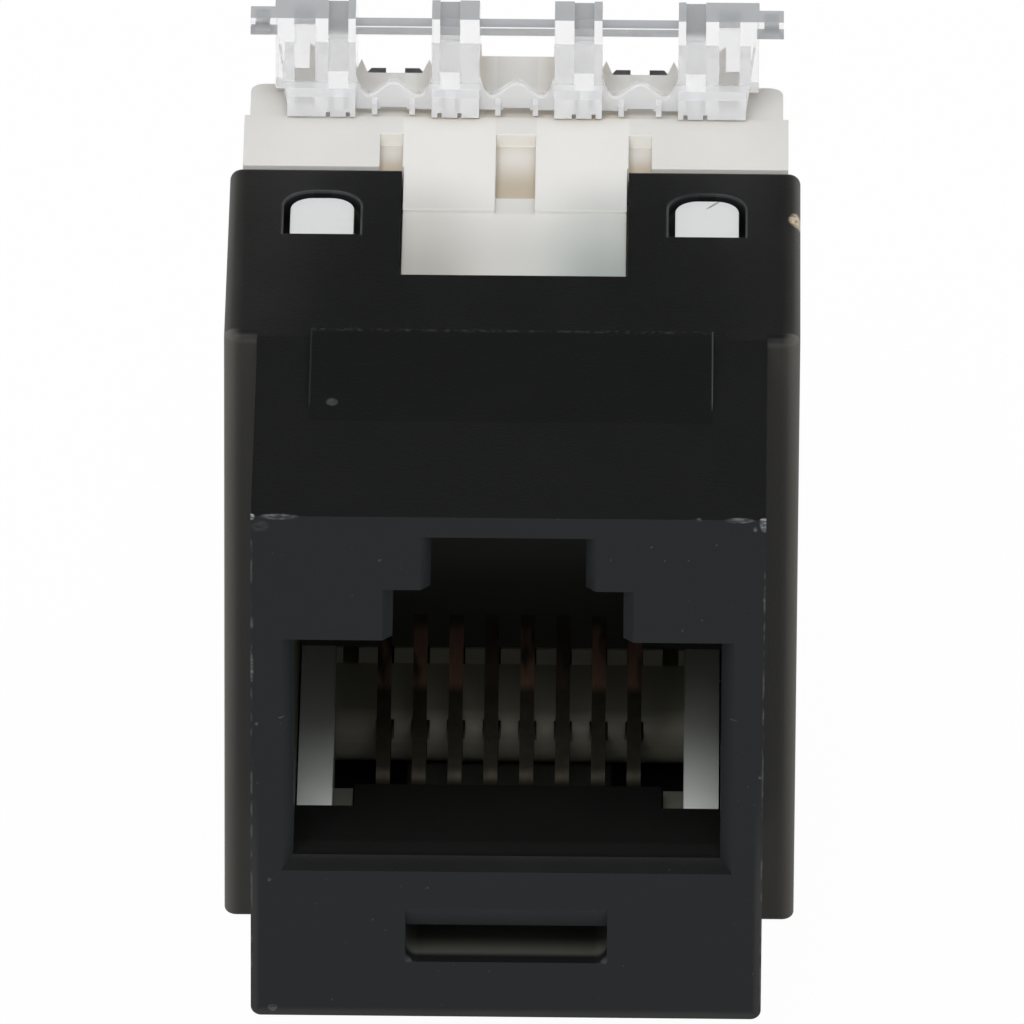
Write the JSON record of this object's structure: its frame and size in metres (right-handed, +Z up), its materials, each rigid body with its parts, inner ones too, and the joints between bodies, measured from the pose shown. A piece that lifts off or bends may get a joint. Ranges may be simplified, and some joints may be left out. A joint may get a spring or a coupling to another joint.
{
  "type": "keystone jack",
  "caption": "Snap-in panel jack with a modular plug port in a black nose, an ivory punch-down block behind and a clear pull-off wire cap.",
  "frame": {"origin": "middle of the base of the whole part's bounding box, on the surface that it rests on", "axes": "+Z up with the plug's latch uppermost, -Y out of the plug port, +Y towards the cable, +X to the right as the port is faced"},
  "size_m": [0.0164, 0.029, 0.0222],
  "materials": {
    "black_housing": "fine matte moulding, light scuffs on its edges",
    "ivory_block": "satin, slightly translucent",
    "ivory_sled": "satin, slightly translucent",
    "board": "green solder mask",
    "contact_metal": "coppery spring wire, gilded where the plug touches",
    "fork_metal": "tinned sheet metal",
    "clear_cap": "clear, polished"
  },
  "bodies": {
    "jack": {"housing": "black_housing", "terminal_block": "ivory_block", "contact_sled": "ivory_sled", "circuit_board": "board", "contact_1": "contact_metal", "contact_2": "contact_metal", "contact_3": "contact_metal", "contact_4": "contact_metal", "contact_5": "contact_metal", "contact_6": "contact_metal", "contact_7": "contact_metal", "contact_8": "contact_metal", "idc_1": "fork_metal", "idc_2": "fork_metal", "idc_3": "fork_metal", "idc_4": "fork_metal", "idc_5": "fork_metal", "idc_6": "fork_metal", "idc_7": "fork_metal", "idc_8": "fork_metal"},
    "cap": {"wire_cap": "clear_cap"}
  },
  "joints": [
    {"name": "wire_cap_slide", "type": "slide", "parent": "jack", "child": "cap", "axis": [0, 1, 0], "range_m": [0, 0.008]}
  ]
}
